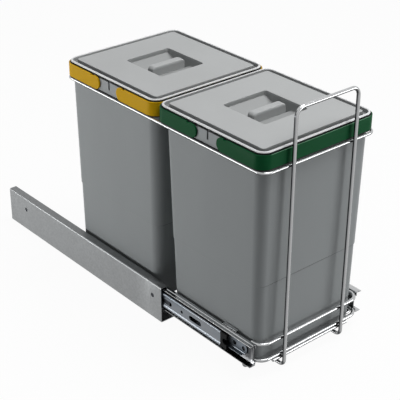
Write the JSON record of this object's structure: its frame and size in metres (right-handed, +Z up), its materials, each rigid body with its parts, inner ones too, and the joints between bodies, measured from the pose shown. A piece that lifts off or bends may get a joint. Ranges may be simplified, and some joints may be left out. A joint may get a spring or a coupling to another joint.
{
  "type": "pull-out waste bin unit",
  "caption": "Pull-out waste unit for a base cabinet: lidded bins with coloured swing handles in a chrome wire basket on ball-bearing slides in folded cover rails.",
  "frame": {"origin": "centre of the bounding box at the level of the cabinet floor that the cover rails stand on, with the basket drawn out as pictured", "axes": "+X to the right seen from the front, +Y towards the back of the cabinet, +Z up; the basket pulls out along -Y"},
  "size_m": [0.253, 0.6716, 0.438],
  "materials": {
    "galvanised_steel": "galvanised sheet, fine spangle, satin",
    "slide_steel": "zinc-plated rolled steel, semi-gloss",
    "chrome_wire": "bright chrome plate",
    "black_plastic": "black moulded plastic, satin",
    "grey_bin_plastic": "mid grey moulded plastic, satin",
    "grey_lid_plastic": "light grey moulded plastic, satin",
    "yellow_plastic": "golden yellow moulded plastic, satin",
    "green_plastic": "deep green moulded plastic, satin"
  },
  "bodies": {
    "cover_rails": {"left_cover_rail": "galvanised_steel", "right_cover_rail": "galvanised_steel", "left_slide_outer": "slide_steel", "right_slide_outer": "slide_steel", "left_front_rail_rivet": "slide_steel", "left_rear_rail_rivet": "slide_steel", "right_front_rail_rivet": "slide_steel", "right_rear_rail_rivet": "slide_steel"},
    "basket": {"left_slide_inner": "slide_steel", "right_slide_inner": "slide_steel", "left_front_channel_rivet": "slide_steel", "left_rear_channel_rivet": "slide_steel", "right_front_channel_rivet": "slide_steel", "right_rear_channel_rivet": "slide_steel", "left_side_channel": "chrome_wire", "right_side_channel": "chrome_wire", "left_channel_clip": "chrome_wire", "right_channel_clip": "chrome_wire", "upper_front_wire": "chrome_wire", "lower_front_wire": "chrome_wire", "lower_cross_bar": "chrome_wire", "hoop_wire": "chrome_wire", "top_ring_wire": "chrome_wire", "front_cradle_wire": "chrome_wire", "middle_cradle_wire": "chrome_wire", "rear_cradle_wire": "chrome_wire"},
    "left_middle_member": {"left_slide_middle": "slide_steel", "left_slide_bumper": "black_plastic"},
    "right_middle_member": {"right_slide_middle": "slide_steel", "right_slide_bumper": "black_plastic"},
    "left_outer_cage": {"left_outer_ball_cage": "slide_steel"},
    "right_outer_cage": {"right_outer_ball_cage": "slide_steel"},
    "left_inner_cage": {"left_inner_ball_cage": "slide_steel"},
    "right_inner_cage": {"right_inner_ball_cage": "slide_steel"},
    "rear_bin_body": {"rear_bin": "grey_bin_plastic"},
    "front_bin_body": {"front_bin": "grey_bin_plastic"},
    "rear_lid": {"rear_bin_lid": "grey_lid_plastic"},
    "front_lid": {"front_bin_lid": "grey_lid_plastic"},
    "rear_bin_handle_f": {"rear_bin_front_handle": "yellow_plastic"},
    "rear_bin_handle_r": {"rear_bin_rear_handle": "yellow_plastic"},
    "front_bin_handle_f": {"front_bin_front_handle": "green_plastic"},
    "front_bin_handle_r": {"front_bin_rear_handle": "green_plastic"}
  },
  "joints": [
    {"name": "pull_out", "type": "slide", "parent": "cover_rails", "child": "basket", "axis": [0, -1, 0], "range_m": [-0.2055, 0.2345]},
    {"name": "left_middle_slide", "type": "slide", "parent": "cover_rails", "child": "left_middle_member", "axis": [0, -1, 0], "range_m": [-0.14, 0.16]},
    {"name": "right_middle_slide", "type": "slide", "parent": "cover_rails", "child": "right_middle_member", "axis": [0, -1, 0], "range_m": [-0.14, 0.16]},
    {"name": "left_outer_cage_roll", "type": "slide", "parent": "cover_rails", "child": "left_outer_cage", "axis": [0, -1, 0], "range_m": [-0.07, 0.08]},
    {"name": "right_outer_cage_roll", "type": "slide", "parent": "cover_rails", "child": "right_outer_cage", "axis": [0, -1, 0], "range_m": [-0.07, 0.08]},
    {"name": "left_inner_cage_roll", "type": "slide", "parent": "cover_rails", "child": "left_inner_cage", "axis": [0, -1, 0], "range_m": [-0.173, 0.197]},
    {"name": "right_inner_cage_roll", "type": "slide", "parent": "cover_rails", "child": "right_inner_cage", "axis": [0, -1, 0], "range_m": [-0.173, 0.197]},
    {"name": "rear_bin_lift", "type": "slide", "parent": "basket", "child": "rear_bin_body", "axis": [0, 0, 1], "range_m": [0, 0.36]},
    {"name": "front_bin_lift", "type": "slide", "parent": "basket", "child": "front_bin_body", "axis": [0, 0, 1], "range_m": [0, 0.36]},
    {"name": "rear_lid_lift", "type": "slide", "parent": "rear_bin_body", "child": "rear_lid", "axis": [0, 0, 1], "range_m": [0, 0.04]},
    {"name": "front_lid_lift", "type": "slide", "parent": "front_bin_body", "child": "front_lid", "axis": [0, 0, 1], "range_m": [0, 0.04]},
    {"name": "rear_bin_front_handle_swing", "type": "hinge", "parent": "rear_bin_body", "child": "rear_bin_handle_f", "pos_m": [0, -0.0068, 0.3665], "axis": [-1, 0, 0], "range_deg": [0, 90]},
    {"name": "rear_bin_rear_handle_swing", "type": "hinge", "parent": "rear_bin_body", "child": "rear_bin_handle_r", "pos_m": [0, 0.0596, 0.3665], "axis": [1, 0, 0], "range_deg": [0, 90]},
    {"name": "front_bin_front_handle_swing", "type": "hinge", "parent": "front_bin_body", "child": "front_bin_handle_f", "pos_m": [0, -0.2422, 0.3665], "axis": [-1, 0, 0], "range_deg": [0, 90]},
    {"name": "front_bin_rear_handle_swing", "type": "hinge", "parent": "front_bin_body", "child": "front_bin_handle_r", "pos_m": [0, -0.1758, 0.3665], "axis": [1, 0, 0], "range_deg": [0, 90]}
  ],
  "couplings": [
    {"joint": "left_middle_slide", "follows": "pull_out", "ratio": 0.68},
    {"joint": "right_middle_slide", "follows": "pull_out", "ratio": 0.68},
    {"joint": "left_outer_cage_roll", "follows": "pull_out", "ratio": 0.34},
    {"joint": "right_outer_cage_roll", "follows": "pull_out", "ratio": 0.34},
    {"joint": "left_inner_cage_roll", "follows": "pull_out", "ratio": 0.84},
    {"joint": "right_inner_cage_roll", "follows": "pull_out", "ratio": 0.84}
  ]
}
